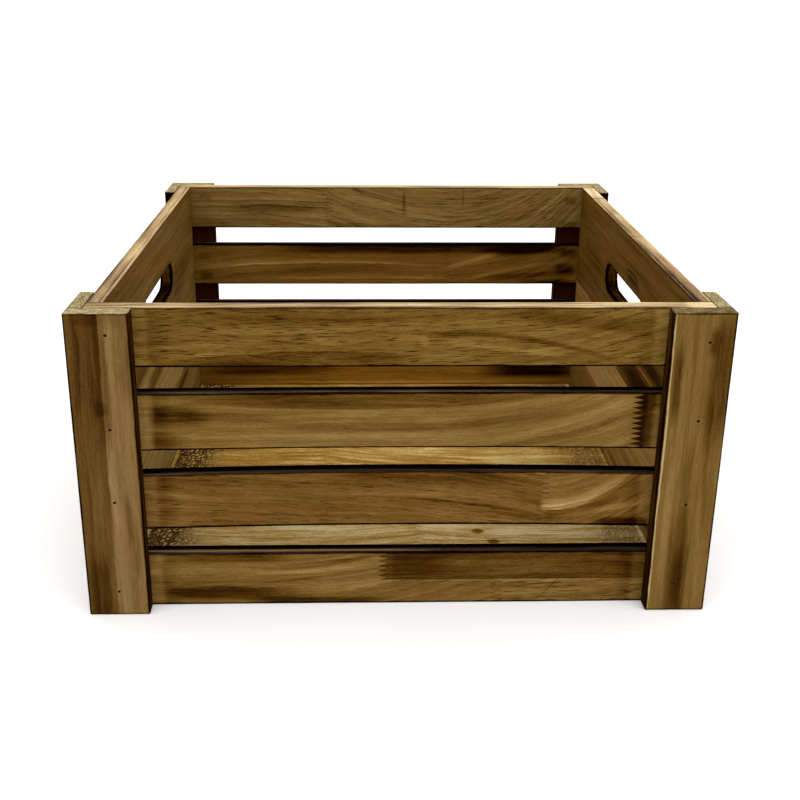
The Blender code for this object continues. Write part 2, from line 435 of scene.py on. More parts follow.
class Surface:
    """The fields that a board's colours and relief are made of, in one shader tree."""

    def __init__(self, tree, board, look):
        self.tree, self.board, self.look = tree, board, look
        self.along, self.across, self.depth = board.place(object_point(tree))
        first, length = board.low[board.axes[0]] / MM, board.sizes[0]
        if "bow" in look:
            run = (self.along - (first + length / 2)) / (length / 2 * BOW_SHARE)
            lower, upper = look["bow"]
            share = self.across / board.sizes[1]
            self.across = self.across - larger(1 - run * run, 0) * (share * (upper - lower) + lower)
        self.place = self.along, self.across, self.depth
        self.from_end = smaller(self.along - first, first + length - self.along)
        self.from_edge = smaller(self.across, board.sizes[1] - self.across)
        self.from_face = smaller(self.depth, board.sizes[2] - self.depth)
        self.outer = fall(self.depth, 0.3 * board.sizes[2], 0.7 * board.sizes[2])
        self.inner = 1 - self.outer
        self.seed = look["seed"]
        self.add_grain()

    def add_grain(self):
        look = self.look
        character, bend, self.glue = choose_staves(
            self.along, self.across, look["rows"], look.get("glued_from", -400))
        stave_seed, self.stave_tone, fleck_share = character
        middle, left, right = bend
        sway = cloud(self.place, (90, 38, 38), stave_seed, 1) * 8
        self.sway = sway + cloud(self.place, (22, 8, 8), stave_seed, 1) * 1.6
        run = self.along - middle
        before, after = smaller(run, 0), larger(run, 0)
        turn = before * before * left + after * after * right
        flow = self.across + self.sway - turn
        lie = (self.along, flow, self.depth)
        flatter = (self.along, self.across + self.sway - turn * 0.45, self.depth)

        self.broad = cloud(lie, (150, 8, 8), stave_seed + 3, 2)
        self.streak = cloud(lie, (60, 2.6, 2.6), stave_seed + 7, 3, 0.62)
        self.fine = cloud(flatter, (10, 0.75, 0.9), stave_seed + 11, 2, 0.65)
        self.specks = cloud(flatter, (2.2, 0.8, 0.8), stave_seed + 17, 1)
        self.clouded = cloud(self.place, (42, 20, 20), stave_seed + 19, 2)
        dash = cloud(flatter, (15, 0.65, 1), stave_seed + 13, 1)
        fleck_share = fleck_share + strokes(self.place, look.get("flecked", ()))
        open_to_flecks = rise(self.clouded + fleck_share * 0.35, 0.06, 0.24)
        self.flecks = rise(dash, 0.08, 0.16) * open_to_flecks * fleck_share

        pitch = look.get("ring_pitch", 8.5)
        ring = calculate("FRACT", (flow + self.broad * 16 + self.streak * 1.5) / pitch)
        ring = ring * ring * fall(ring, 0.86, 1) * rise(self.clouded, -0.30, 0.16)
        self.rings = ring * look.get("rings", 0.12)

    def tone(self):
        """Light and dark of the broad faces: grain, burnt marks, glue lines, nail holes, arrises darkened by
        char and by painted shade, and on slats a painted shade along the lower edge.
        """
        look, board = self.look, self.board
        grain = self.broad * BROAD + self.streak * STREAK + self.fine * FINE + self.specks * SPECK
        grain = (grain + self.clouded * CLOUDED) * look.get("contrast", 1)
        staves = self.stave_tone * (1 - self.outer * look.get("outer_calm", 0))
        tone = staves + look.get("tone", 0.58) + grain - self.rings - self.flecks * FLECK_DEPTH
        wavy = self.across + self.sway * 0.35 + self.streak * 3.4 + self.fine * 1.4
        ragged = (self.along, wavy, self.depth)
        for side, share in (("outer", self.outer), ("inner", self.inner)):
            if look.get(side):
                tone = tone - strokes(ragged, look[side]) * share
        tone = tone - self.glue * look.get("glue", GLUE_DEPTH)
        tone = calculate("SMOOTH_MAX", tone, look.get("darkest", DARKEST), DARK_SOFTNESS)
        for spot in look.get("nails", ()):
            away = [axis - value for axis, value in zip(self.place, spot)]
            gap = calculate("SQRT", away[0] * away[0] + away[1] * away[1] + away[2] * away[2])
            start, middle, end = NAIL_RING
            tone = tone + rise(gap, start, middle) * fall(gap, middle, end) * NAIL_RING_TONE
        tone = self.near_ends(tone)
        # Darker arrises: char, with painted shade for the shadow lines between boards
        tone = tone - self.burnt_arris() * look.get("burn", ARRIS_CHAR_AND_SHADE_DEPTH)
        # Painted shade: a dark band along the lower edge of a slat's outer face, standing in for the shade in
        # the gap below it
        if "shade_at_lower_edge" in look:
            darkened = fall(self.across + self.streak * 1.5, 0.4 * look["shade_at_lower_edge"], look["shade_at_lower_edge"])
            tone = tone - darkened * self.outer * LOWER_EDGE_SHADE_DEPTH
        if board.kind == "end_panel":
            tone = tone - self.burnt_slot()
        return tone

    def near_ends(self, tone):
        """Where a neighbouring board kept the torch off, a board is paler, with a darker band next to it."""
        shy = self.look.get("shy")
        if not shy:
            return tone
        outer_reach, inner_reach = shy
        reach = self.outer * (outer_reach - inner_reach) + inner_reach
        rest = self.from_end - reach + self.streak * 5 + self.clouded * 7
        tone = tone + fall(rest, -3, 2) * 0.07
        return tone - rise(rest, -1.5, 3) * fall(rest, 2, 16) * 0.10

    def burnt_arris(self):
        # Char along the arrises, deepened as painted shade that stands in for the shadow lines in the gaps
        # between boards
        two = smaller(self.from_edge, self.from_face)
        arris = larger(two, smaller(larger(self.from_edge, self.from_face), self.from_end))
        bite = cloud(self.place, (34, 26, 26), self.seed + 23, 2) * 2.6
        bite = bite + cloud(self.place, (6, 3, 3), 1, 1)
        return fall(arris + bite * 0.5, 0.1, ARRIS_CHAR_AND_SHADE_WIDTH)

    def burnt_slot(self):
        """Soot on the walls and rims of the hand slot, with a thin smoked band around it."""
        sideways = larger(size_of(self.along) - (SLOT_LENGTH - SLOT_HEIGHT) / 2 / MM, 0)
        up = self.across - (SLOT_TOP - SLOT_HEIGHT / 2) / MM
        gap = calculate("SQRT", sideways * sideways + up * up) - SLOT_HEIGHT / 2 / MM
        patch = cloud(self.place, (24, 12, 7), 61, 2)
        gap = gap + patch * 1.6
        rim = fall(self.from_face, 1.2, 3.4)
        below = fall(up, -9, -5)
        wall = fall(gap, 0, 2.4) * (rim * 0.40 + below * 0.16 + patch * 0.5 + 0.16)
        return wall + fall(gap, 1.5, 7) * 0.10

    def colour(self):
        look, board = self.look, self.board
        colour = shade(self.tone(), look.get("palette", TORCHED))
        warm = cloud(self.place, (60, 14, 14), self.seed + 71, 2) * 2 + 0.5
        hue = blend_colours(warm, (0.97, 1.01, 0.95), (1.04, 0.985, 0.98))
        colour = blend_colours(1, colour, hue, "MULTIPLY")
        for tint, share in (("tint", 1), ("inner_tint", self.inner)):
            if tint in look:
                colour = blend_colours(share, colour, look[tint], "MULTIPLY")

        lines = cloud(self.place, (45, 1.6, 1), self.seed + 29, 3, 0.6)
        change = cloud(self.place, (55, 20, 5), self.seed + 37, 2)
        beside = (self.along, self.depth + lines * 2)
        for at_top, (palette, edge_tone, spread, edge_marks) in enumerate(look["edges"]):
            gap = board.sizes[1] - self.across if at_top else self.across
            on_edge = fall(gap + cloud(self.place, (9, 3, 2), 31, 1) * 0.4, 0.25, 0.8)
            rim = fall(self.from_face + lines * 0.8, 0.2, 1.6) * 0.30
            edge = lines * 0.9 + change * spread + self.specks * 0.3 + edge_tone - rim
            if edge_marks:
                edge = edge - strokes(beside, edge_marks)
            colour = blend_colours(on_edge, colour, shade(edge, palette))

        on_end = fall(self.from_end, 0.3, 0.8)
        self.pores = cloud(self.place, (2, 0.9, 0.9), self.seed + 41, 3, 0.7)
        bow = cloud(self.place, (30, 12, 12), 43, 1) * 6
        year = calculate("FRACT", (self.depth + self.across * 0.35 + bow) / 2.7)
        rough = cloud(self.place, (4, 7, 3), self.seed + 47, 2)
        end_tone = look.get("end_tone", 0.62) + self.pores * 1.4 + rough * 0.9 - year * 0.16
        end_tone = end_tone - fall(self.from_edge, 0, 1.4) * 0.25 - fall(self.from_face, 0, 1.1) * 0.15
        self.on_end = on_end
        colour = blend_colours(on_end, colour, shade(end_tone, END_GRAIN))
        self.crust = self.along * 0
        return self.charred_ends(colour) if "char" in look else colour

    def charred_ends(self, colour):
        """The crackle at a floor board's ends: charred cracks between paler cells, and pale specks that are
        painted glints.
        """
        length, fade = self.look["char"]
        reach = self.from_end + cloud(self.place, (16, 12, 12), 47, 2) * 34
        area = fall(reach, length, length + fade) * rise(self.from_end, *SAWN_END)
        wobble = cloud(self.place, (3, 4, 4), 53, 2) * 1.4
        cells = self.tree.nodes.new("ShaderNodeTexVoronoi")
        cells.feature = "DISTANCE_TO_EDGE"
        cells.inputs["Scale"].default_value = 1
        along, across, depth = [axis / size for axis, size in zip(self.place, CRACKLE_CELL)]
        spot = vector(self.tree, along + wobble, across + wobble, depth)
        feed(self.tree, cells.inputs["Vector"], spot)
        crack = fall(Field(self.tree, cells.outputs["Distance"]), 0.06, 0.26)
        self.crust = area * crack
        # Painted glints: pale specks where light would catch the crackle
        painted_glint = rise(cloud(self.place, (1.8, 2.6, 2), 59, 1), 0.12, 0.20)
        milder = rise(self.along, 0, 10)
        darkened = blend_colours(milder, linear(50, 24, 6), linear(104, 74, 32))
        burnt = blend_colours(crack, linear(192, 152, 84), darkened)
        burnt = blend_colours(fall(reach, 0, length) * (0.7 - milder * 0.6), burnt, linear(64, 36, 10))
        burnt = blend_colours(painted_glint * (0.6 - milder * 0.2), burnt, linear(236, 210, 150))
        return blend_colours(area * (0.95 - milder * 0.25), colour, burnt)

    def relief(self):
        soft = self.fine * 0.14 + self.streak * 0.18 + self.specks * 0.07
        cut = self.flecks * 0.12 + self.glue * 0.10 + self.crust * 0.5 + self.rings * 0.4
        return soft - cut + self.on_end * (self.pores * 0.5)


def pine(name, board, look):
    """Torched pine for one board. look says what this board has of its own."""
    material, tree, shader = new_material(name)
    surface = Surface(tree, board, look)
    feed(tree, shader.inputs["Base Color"], surface.colour())
    dull = surface.streak * -0.3 + surface.flecks * 0.2 + 0.52
    dull = calculate("ADD", dull, surface.on_end * 0.3, clamp=True)
    feed(tree, shader.inputs["Roughness"], dull)
    shader.inputs["Specular IOR Level"].default_value = FACE_SHEEN
    add_bump(tree, shader, surface.relief(), RELIEF, MM)
    return material


def without_sheen(material, name):
    """The same wood for sooty and sawn faces, which have no shine at all."""
    dull = material.copy()
    dull.name = name
    dull.node_tree.nodes["Principled BSDF"].inputs["Specular IOR Level"].default_value = 0
    return dull


def steel():
    """Dull, heat-stained brad heads."""
    material, tree, shader = new_material("brad_steel")
    place = [axis * (1 / MM) for axis in object_point(tree)]
    stain = cloud(place, (0.5, 0.5, 0.5), 2, 3)
    colour = shade(stain * 1.6 + 0.35, ((0, (4, 2, 1)), (0.6, (16, 9, 6)), (1, (60, 46, 34))))
    feed(tree, shader.inputs["Base Color"], colour)
    shader.inputs["Metallic"].default_value = 0.75
    feed(tree, shader.inputs["Roughness"], stain * 0.4 + 0.5)
    add_bump(tree, shader, stain, 1, 0.1 * MM)
    return material


# ---- board meshes


def cuts_between(low, high):
    """Places where the skin of a board is cut along one axis: close together at the arrises."""
    turns = [math.pi / 4 * step / ARRIS_STEPS for step in range(ARRIS_STEPS, -1, -1)]
    edge = [ARRIS - ARRIS * math.tan(turn) for turn in turns] + [ARRIS + SUPPORT]
    inner = high - low - 2 * edge[-1]
    cells = max(1, round(inner / CELL))
    middle = [edge[-1] + inner * step / cells for step in range(1, cells)]
    return [low + e for e in edge] + [low + m for m in middle] + [high - e for e in reversed(edge)]


def box_skin(cuts):
    """Points and quads of a box's skin, cut into cells at the given places along each axis."""
    index, points, quads = {}, [], []

    def point(spot):
        if spot not in index:
            index[spot] = len(points)
            points.append(Vector([cuts[axis][spot[axis]] for axis in (X, Y, Z)]))
        return index[spot]

    for axis in (X, Y, Z):
        a, b = (axis + 1) % 3, (axis + 2) % 3
        for end in (0, len(cuts[axis]) - 1):
            for i in range(len(cuts[a]) - 1):
                for j in range(len(cuts[b]) - 1):
                    corners = []
                    for di, dj in ((0, 0), (1, 0), (1, 1), (0, 1)):
                        spot = [0, 0, 0]
                        spot[axis], spot[a], spot[b] = end, i + di, j + dj
                        corners.append(point(tuple(spot)))
                    quads.append(corners if end else corners[::-1])
    return points, quads


def worn(point, board, look):
    """A point of a box's skin moved onto the worn board.

    Its arrises are rounded unevenly and its faces are not quite flat. look["bow"] is how far the lower and
    the upper edge are bowed up in the middle, in millimetres.
    """
    low, high, grain = board.low, board.high, board.axes[0]
    spot = point + Vector((look["seed"], 2 * look["seed"], -look["seed"]))
    rub = 0.5 + 0.5 * noise.noise(spot * 38) + 0.35 * noise.noise(spot * 190)
    radius = ARRIS * (1 - ARRIS_WEAR * min(1, max(0, rub)))
    core = Vector([min(max(point[axis], low[axis] + radius), high[axis] - radius) for axis in (X, Y, Z)])
    out = (point - core).normalized()
    stretch = Vector([spot[axis] * (9 if axis == grain else 70) for axis in (X, Y, Z)])
    sink = SKIN_WAVE * (0.5 + 0.5 * noise.noise(stretch))
    sink += abs(out[grain]) * END_ROUGHNESS * (0.5 + 0.5 * noise.noise(spot * 420))
    moved = core + out * (radius - sink)
    if "bow" in look:
        width = board.axes[1]
        middle, half = (low[grain] + high[grain]) / 2, (high[grain] - low[grain]) / 2 * BOW_SHARE
        run = (point[grain] - middle) / half
        share = (point[width] - low[width]) / (high[width] - low[width])
        lower, upper = look["bow"]
        moved[width] += max(0.0, 1 - run * run) * (lower + share * (upper - lower)) * MM
    return moved


def brad_line(brad_node):
    """Where a brad's head is, which way it points, its length and its head's radius, from its mesh."""
    points = [vertex.co.copy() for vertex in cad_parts[brad_node].data.vertices]
    middle = sum(points, Vector()) / len(points)
    tip = max(points, key=lambda point: (point - middle).length)
    length = max((point - tip).length for point in points)
    rim = [point for point in points if (point - tip).length > length - HEAD_REACH]
    low = Vector([min(point[axis] for point in rim) for axis in (X, Y, Z)])
    high = Vector([max(point[axis] for point in rim) for axis in (X, Y, Z)])
    head = (low + high) / 2
    return head, (tip - head).normalized(), (tip - head).length, max((point - head).length for point in rim)


def turned(profile, start, direction):
    """Points and faces of a closed solid of revolution: profile holds (depth, radius) pairs."""
    turn_to = direction.to_track_quat("Z", "Y")
    points = []
    for depth, radius in profile:
        for step in range(HOLE_SIDES):
            turn = 2 * math.pi * step / HOLE_SIDES
            spot = Vector((radius * math.cos(turn), radius * math.sin(turn), depth))
            points.append(start + turn_to @ spot)
    return points, joined_rings(len(profile), HOLE_SIDES)


def joined_rings(rings, sides):
    """Faces that join equal rings of points one after the other and close both ends."""
    faces = []
    for ring in range(rings - 1):
        for step in range(sides):
            after = (step + 1) % sides
            start, end = ring * sides, (ring + 1) * sides
            faces.append([start + step, start + after, end + after, end + step])
    faces.append(list(range(sides))[::-1])
    faces.append(list(range((rings - 1) * sides, rings * sides)))
    return faces


def hole_cutter(brad_node):
    """The stepped hole that a brad sits in, a little wider at its mouth."""
    head, direction, length, head_radius = brad_line(brad_node)
    wide, narrow = head_radius + HOLE_CLEARANCE, SHANK_RADIUS + HOLE_CLEARANCE
    mouth, bottom = (-MOUTH_LIFT, 1.2 * wide), (length + HOLE_CLEARANCE, narrow)
    profile = [mouth, (0.0, wide), (HEAD_DEPTH, wide), (HEAD_DEPTH, narrow), bottom]
    return turned(profile, head, direction)


def stadium(half_length, half_height):
    """The outline of a slot with half-round ends, as (across, up) pairs."""
    outline = []
    for side, start in ((1, -math.pi / 2), (-1, math.pi / 2)):
        for step in range(SLOT_ARC_STEPS + 1):
            turn = start + math.pi * step / SLOT_ARC_STEPS
            across = side * (half_length - half_height) + half_height * math.cos(turn)
            outline.append((across, half_height * math.sin(turn)))
    return outline


def slot_cutter(board):
    """A bar as long as the hand slot, flared at both faces of the panel so that it leaves rounded rims."""
    flare = []
    for step in range(SLOT_RIM_STEPS + 1):
        turn = math.pi / 2 * step / SLOT_RIM_STEPS
        flare.append((SLOT_RIM * (1 - math.sin(turn)), SLOT_RIM * (1 - math.cos(turn))))
    left, right = board.low[X], board.high[X]
    inside = [(left + gap, out) for gap, out in reversed(flare)]
    outside = [(right - gap, out) for gap, out in flare]
    rings = [(left - SLOT_LIFT, SLOT_RIM + SLOT_LIFT)] + inside + outside
    rings.append((right + SLOT_LIFT, SLOT_RIM + SLOT_LIFT))
    middle = SLOT_TOP - SLOT_HEIGHT / 2
    points = []
    for place, out in rings:
        for across, up in stadium(SLOT_LENGTH / 2 + out, SLOT_HEIGHT / 2 + out):
            points.append(Vector((place, across, middle + up)))
    return points, joined_rings(len(rings), len(points) // len(rings))


def add_object(name, data):
    piece = bpy.data.objects.new(name, data)
    bpy.context.scene.collection.objects.link(piece)
    return piece


def add_mesh(name, points, faces):
    mesh = bpy.data.meshes.new(name)
    mesh.from_pydata([tuple(point) for point in points], [], faces)
    return add_object(name, mesh)


def face_outwards(piece):
    """Turns a closed mesh's faces outwards."""
    shape = bmesh.new()
    shape.from_mesh(piece.data)
    bmesh.ops.recalc_face_normals(shape, faces=shape.faces)
    shape.to_mesh(piece.data)
    shape.free()


def cut_out(piece, cutters):
    """Takes each (points, faces) solid out of a piece."""
    holes = bpy.data.collections.new(piece.name + "_holes")
    tools = []
    for points, faces in cutters:
        tool = add_mesh(piece.name + "_tool", points, faces)
        face_outwards(tool)
        holes.objects.link(tool)
        tools.append(tool)
    drill = piece.modifiers.new("holes", "BOOLEAN")
    drill.operation = "DIFFERENCE"
    drill.solver = "EXACT"
    drill.operand_type = "COLLECTION"
    drill.collection = holes
    graph = bpy.context.evaluated_depsgraph_get()
    made = bpy.data.meshes.new_from_object(piece.evaluated_get(graph))
    piece.modifiers.remove(drill)
    old, piece.data = piece.data, made
    bpy.data.meshes.remove(old)
    made.name = piece.name
    for tool in tools:
        bpy.data.objects.remove(tool, do_unlink=True)
    bpy.data.collections.remove(holes)


def overlap(first, second):
    """True if two (low, high) boxes share any room."""
    return all(first[0][a] < second[1][a] and second[0][a] < first[1][a] for a in (X, Y, Z))


def nail_spots(board, brads):
    """Where brad heads sit in a board's outer face, in the board's own millimetres."""
    spots = [board.place(brad_line(brad)[0]) for brad in brads]
    return [spot for spot in spots if abs(spot[2]) < HEAD_REACH_MM]


def make_board(node, kind):
    """The finished board that stands for a CAD board."""
    board = Board(node, kind)
    look = look_of(node, kind)
    brads = [brad for brad in BRADS if overlap(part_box(brad), (board.low, board.high))]
    look["nails"] = nail_spots(board, brads)
    points, quads = box_skin([cuts_between(board.low[axis], board.high[axis]) for axis in (X, Y, Z)])
    piece = add_mesh("wood_" + node, [worn(point, board, look) for point in points], quads)
    cutters = [hole_cutter(brad) for brad in brads]
    if kind == "end_panel":
        cutters.append(slot_cutter(board))
    cut_out(piece, cutters)
    piece.data.shade_smooth()
    piece.data.set_sharp_from_angle(angle=SMOOTH_ANGLE)
    piece.data.materials.clear()
    face = pine(node + "_face", board, look)
    piece.data.materials.append(face)
    piece.data.materials.append(without_sheen(face, node + "_edge"))
    thickness = board.axes[2]
    for polygon in piece.data.polygons:
        polygon.material_index = 0 if abs(polygon.normal[thickness]) > FACE_TILT else 1
    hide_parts(node)
    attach(piece, "root")
    return piece


# ---- what each board has of its own


def mark(along, across, reach, height, strength, slope=0, curve=0):
    """The values of one stroke(). A number stands for two equal ones, and negative strength is paler."""
    reach, height = [size if isinstance(size, tuple) else (size, size) for size in (reach, height)]
    return dict(at=(along, across), reach=reach, height=height, strength=strength, slope=slope, curve=curve)


def band(across, height, strength, reach=900):
    """A mark that runs along the whole board."""
    return mark(0, across, reach, height, strength)


WHOLE_WIDTH = 400

# Long edges: palette, tone, how much the tone changes along the edge, and marks in along and depth
BLACK_EDGE = (CHARRED, 0.28, 0.5, ())
TORCHED_EDGE = (TORCHED, 0.3, 0.6, ())
SOOTY_EDGE = (TORCHED, 0.22, 0.5, ())
PALE_EDGE = (BARE, 0.6, 0.9, ())
# A slat's top edge: char, with painted shade over its far part, where the board above shades it, and a grey
# middle that is a painted sheen
CHAR_SHADE_AND_SHEEN_EDGE = (CHARRED, 0.75, 0.5, [
    band(9, (6, 9), 0.62),
    mark(170, 5, (160, 900), 20, 0.12),
])

LOOKS = {}
LOOKS["front_slat_1"] = dict(
    rows=[(43, [Stave(seed=1, tone=0.02, flecks=0.75, bend=(10, 0, 0.001))])],
    tint=(1, 0.99, 0.86),
    edges=(BLACK_EDGE, (BARE, 0.6, 1.3, [
        mark(-160, 5, (60, 260), 20, 0.14), mark(50, 5, 60, 20, -0.06), mark(199, 5, (12, 40), 20, -0.3),
    ])),
    shade_at_lower_edge=1.6,
    flecked=[
        mark(-95, 28, (100, 110), (16, 14), 0.9), mark(-150, 14, (20, 40), 6, 0.5),
        mark(70, 9, (35, 50), (6, 4), 0.7), mark(150, 15, (24, 26), (12, 10), 0.8),
    ],
    outer=[
        mark(-60, 10.5, (122, 95), (26, 1.8), 0.19, slope=0.01, curve=-0.0008),
        mark(-124, 1.5, (50, 60), 4, 0.14), mark(-80, 37, (100, 90), (12, 8), 0.1),
        mark(-20, 20, (70, 50), (6, 5), -0.08), mark(15, 18, 4, (6, 4), -0.12),
        mark(45, 23, (32, 125), (2.5, 3), 0.24, curve=-0.0019),
        mark(60, 14, (35, 80), (3, 3.5), -0.14, slope=-0.13),
        mark(90, 7, (60, 70), (4, 5), 0.1, slope=-0.05),
        mark(115, 33, 60, (6, 7), 0.16, slope=-0.12, curve=-0.001),
        mark(170, 39, (24, 20), (12, 8), -0.16, slope=-0.35),
    ],
)
LOOKS["front_slat_2"] = dict(
    rows=[(43, [Stave(until=163, seed=2, tone=0.08, flecks=0.35, bend=(30, 0, 0.0018)),
                Stave(seed=2.7, tone=-0.34, flecks=0.2)])],
    edges=(BLACK_EDGE, CHAR_SHADE_AND_SHEEN_EDGE),
    bow=(1.8, 0.8), shade_at_lower_edge=1.7, rings=0.06,
    outer=[
        mark(0, 31.5, (175, 115), (1.6, 26), 0.22, slope=0.034, curve=0.00048),
        mark(-162, 26, (11, 40), (11, 10), 0.3, slope=-0.04), mark(-168, 18, (6, 16), 40, 0.06),
        mark(-110, 40, (60, 90), (8, 10), 0.13), mark(-120, 24, (44, 60), (6, 4), 0.1),
        mark(-164, 7, (8, 22), 9, 0.2), mark(0, 16, (145, 135), 5, 0.13, slope=0.0275, curve=0.000625),
        mark(-20, 9, (130, 110), 4, -0.08), mark(110, 18, (55, 60), (3, 5), -0.1, slope=0.35, curve=0.003),
        mark(112, 10, 60, 4, 0.11, slope=0.3, curve=0.002), mark(172, 36, (10, 14), (10, 60), 0.2),
        mark(179, 20, (8, 14), 60, -0.38),
    ],
)
LOOKS["front_slat_3"] = dict(
    rows=[(43, [Stave(until=101, seed=3, flecks=0.6, bend=(-50, 0.0006, -0.0008)),
                Stave(seed=3.6, flecks=0.3, bend=(103, 0, 0.006))])],
    tint=(1.04, 0.97, 0.98),
    # Top edge: char, with painted shade over its far part and a grey painted sheen in its middle
    edges=(BLACK_EDGE, (CHARRED, 0.68, 0.4, [
        band(9, (8, 9), 0.64), band(0, (2, 1.6), -0.26),
    ])),
    bow=(2.4, 2.6), shade_at_lower_edge=2.4,
    outer=[
        mark(20, 37.5, (95, 90), (9, 8), 0.15), mark(-150, 36, (30, 50), 8, 0.1),
        mark(-162, 22, (5, 9), 60, 0.04), mark(45, 17.5, (52, 56), 1.8, 0.18, slope=-0.12, curve=-0.0008),
        mark(50, 22, 60, (2, 2.5), -0.08, slope=-0.12, curve=-0.0008),
        mark(90, 7, (60, 30), 4, 0.1, slope=-0.05), mark(105, 13, (7, 75), (0.9, 13), -0.28, curve=0.0086),
        mark(110, 12, (8, 75), (12, 0.9), 0.16, curve=0.0086),
        mark(140, 12.5, (34, 45), 3.5, -0.18, slope=0.2), mark(166, 1, (34, 14), (6, 8), 0.55),
    ],
)
LOOKS["front_slat_4"] = dict(
    rows=[
        (20, [Stave(until=71, seed=4.7, tone=0.06, flecks=0.3, bend=(-100, 0, 0.0011)),
              Stave(seed=4.4, tone=0.05, flecks=0.7, bend=(90, 0, 0.0008))]),
        (43, [Stave(until=-11, seed=4.7, tone=0.06, flecks=0.3, bend=(-100, 0, 0.0011)),
              Stave(seed=4.2, tone=-0.2, flecks=0.2)]),
    ],
    glued_from=-12,
    # Top edge: char, with painted shade over its far part and a grey painted sheen in its middle
    edges=(BLACK_EDGE, (CHARRED, 0.66, 0.5, [
        band(9.5, (6, 9), 0.6), mark(-70, 3.2, (300, 100), (1.8, 2.2), -0.44),
        mark(-100, 0, (300, 120), (2, 1.6), -0.18), mark(110, 4, (100, 120), 20, 0.06),
    ])),
    shade_at_lower_edge=1.8,
    outer=[
        mark(-135, 10, (42, 88), (9, 7), 0.42, slope=-0.01, curve=-0.0004),
        mark(-60, 2.5, (60, 75), (5, 4), 0.3), mark(-125, 37.5, (48, 60), (4, 9), 0.24),
        mark(-60, 31.5, (50, 56), (3, 1.6), 0.16, slope=0.12, curve=0.002),
        mark(-75, 27, (50, 60), 3, -0.09, slope=0.06, curve=0.0012),
        mark(-50, 23, (40, 50), 2, 0.12, slope=0.14, curve=0.001), mark(2, 30, (9, 45), 30, 0.09),
        mark(110, 30, (70, 60), (5, 7), -0.06), mark(-34, 20, (44, 30), (15, 14), -0.08),
        mark(80, 18.9, (92, 100), (1.4, 0.9), -0.06), mark(109, 12, (12, 11), 0.9, 0.24, slope=1.2),
    ],
)
LOOKS["front_left_post"] = dict(
    rows=[(43, [Stave(seed=5, tone=0.13)])],
    contrast=0.72, tint=(0.98, 0.99, 1.36), end_tone=0.78,
    edges=(TORCHED_EDGE, (TORCHED, 0.17, 0.4, ())),
    outer=[
        mark(110, 20.5, 300, (60, 1.8), 0.25, slope=0.006),
        mark(172, 26, (50, 80), (9, 1.6), 0.17, curve=-0.001), mark(200, 19, 60, (7, 3), 0.1),
        mark(196, 9, (60, 40), (10, 9), 0.12), mark(160, 20, 7, 6, 0.16),
        mark(10, 10, 50, (12, 9), 0.18), mark(200, 37, (50, 60), (7, 10), 0.14),
        mark(75, 33, 26, 3, 0.13), mark(50, 37, (26, 40), 3, 0.12), mark(225, 15, 8, (16, 30), 0.12),
    ],
)
LOOKS["front_right_post"] = dict(
    rows=[(43, [Stave(seed=6, tone=0.06)])],
    contrast=0.72, tint=(0.98, 1, 1.1),
    edges=(SOOTY_EDGE, TORCHED_EDGE),
    end_tone=0.46,
    outer=[
        mark(190, 35, (75, 50), (11, 16), 0.24, slope=0.03), mark(208, 28, (14, 12), (4, 6), 0.18),
        mark(178, 6, (38, 34), (4, 5), 0.26), mark(20, 20, (70, 76), 10, 0.28, slope=-0.02),
        mark(24, 20, (30, 36), 6, 0.1), mark(96, 20, (44, 50), 6, 0.13),
        mark(120, 34, 60, 6, 0.08, slope=-0.06), mark(40, 33, (50, 70), 3.5, -0.07, slope=-0.03),
        mark(80, 9, (80, 70), 4, -0.07), mark(114, 1.7, 200, (0.6, 0.9), -0.5),
    ],
)
LOOKS["back_slat_1"] = dict(
    rows=[(43, [Stave(until=-59, seed=7, tone=0.16, flecks=0.5, bend=(-120, 0, -0.001)),
                Stave(seed=7.6, tone=0.2, flecks=0.7, bend=(76, 0.0017, 0.005))])],
    edges=(BLACK_EDGE, PALE_EDGE),
    contrast=0.95, shy=None, rings=0.26, ring_pitch=7.5,
    inner=[
        mark(-125, 20, (42, 60), (9, 7), 0.16), mark(-185, 32, 10, (7, 5), 0.14),
        mark(-180, 3, (40, 30), (6, 5), 0.12), mark(-40, 4, (22, 90), (6, 3), 0.16, slope=-0.04),
        mark(17, 28, 2.4, (18, 14), 0.22), mark(77, 30, 1.6, 14, 0.14), mark(187, 29, 8, 5, 0.26),
        mark(150, 14, (80, 40), 3, 0.1, slope=0.22), mark(190, 4, (16, 10), (6, 5), 0.22),
    ],
)
LOOKS["back_slat_2"] = dict(
    rows=[(43, [Stave(until=63, seed=8, tone=0.05, flecks=0.2, bend=(-30, -0.0004, -0.0003)),
                Stave(seed=8.5, tone=0.04, flecks=0.2, bend=(60, 0, 0.0022))])],
    edges=(BLACK_EDGE, CHAR_SHADE_AND_SHEEN_EDGE),
    contrast=0.85, shy=None, inner_tint=(1.02, 0.9, 0.6), darkest=0.06,
    inner=[
        mark(20, 37, (170, 200), (6, 14), 0.4),
        mark(-60, 24, (160, 130), (1.4, 4), -0.15, curve=-0.0004),
        mark(-60, 24, (160, 130), (0.9, 1.2), -0.12, curve=-0.0004),
        mark(-40, 16, 110, (7, 6), 0.13, curve=-0.0003), mark(-150, 22, (60, 50), 12, -0.1),
        mark(-20, 6.5, (130, 110), (1.2, 2.4), -0.18), mark(90, 26, (46, 44), (5, 3), -0.2, slope=0.32),
        mark(120, 14, (50, 84), (4, 3), -0.18, slope=0.24, curve=-0.0008),
        mark(140, 36, (44, 60), (7, 12), 0.32, slope=0.1),
        mark(150, 10, (50, 60), (5, 4), 0.22, slope=0.1), mark(186, 17, (14, 12), 8, 0.32),
        mark(188, 34, 12, (7, 6), 0.24), mark(-186, 9, 9, 7, 0.22), mark(-188, 30, 8, 5, 0.12),
        mark(175, 2, (44, 30), (7, 5), 0.36),
    ],
)
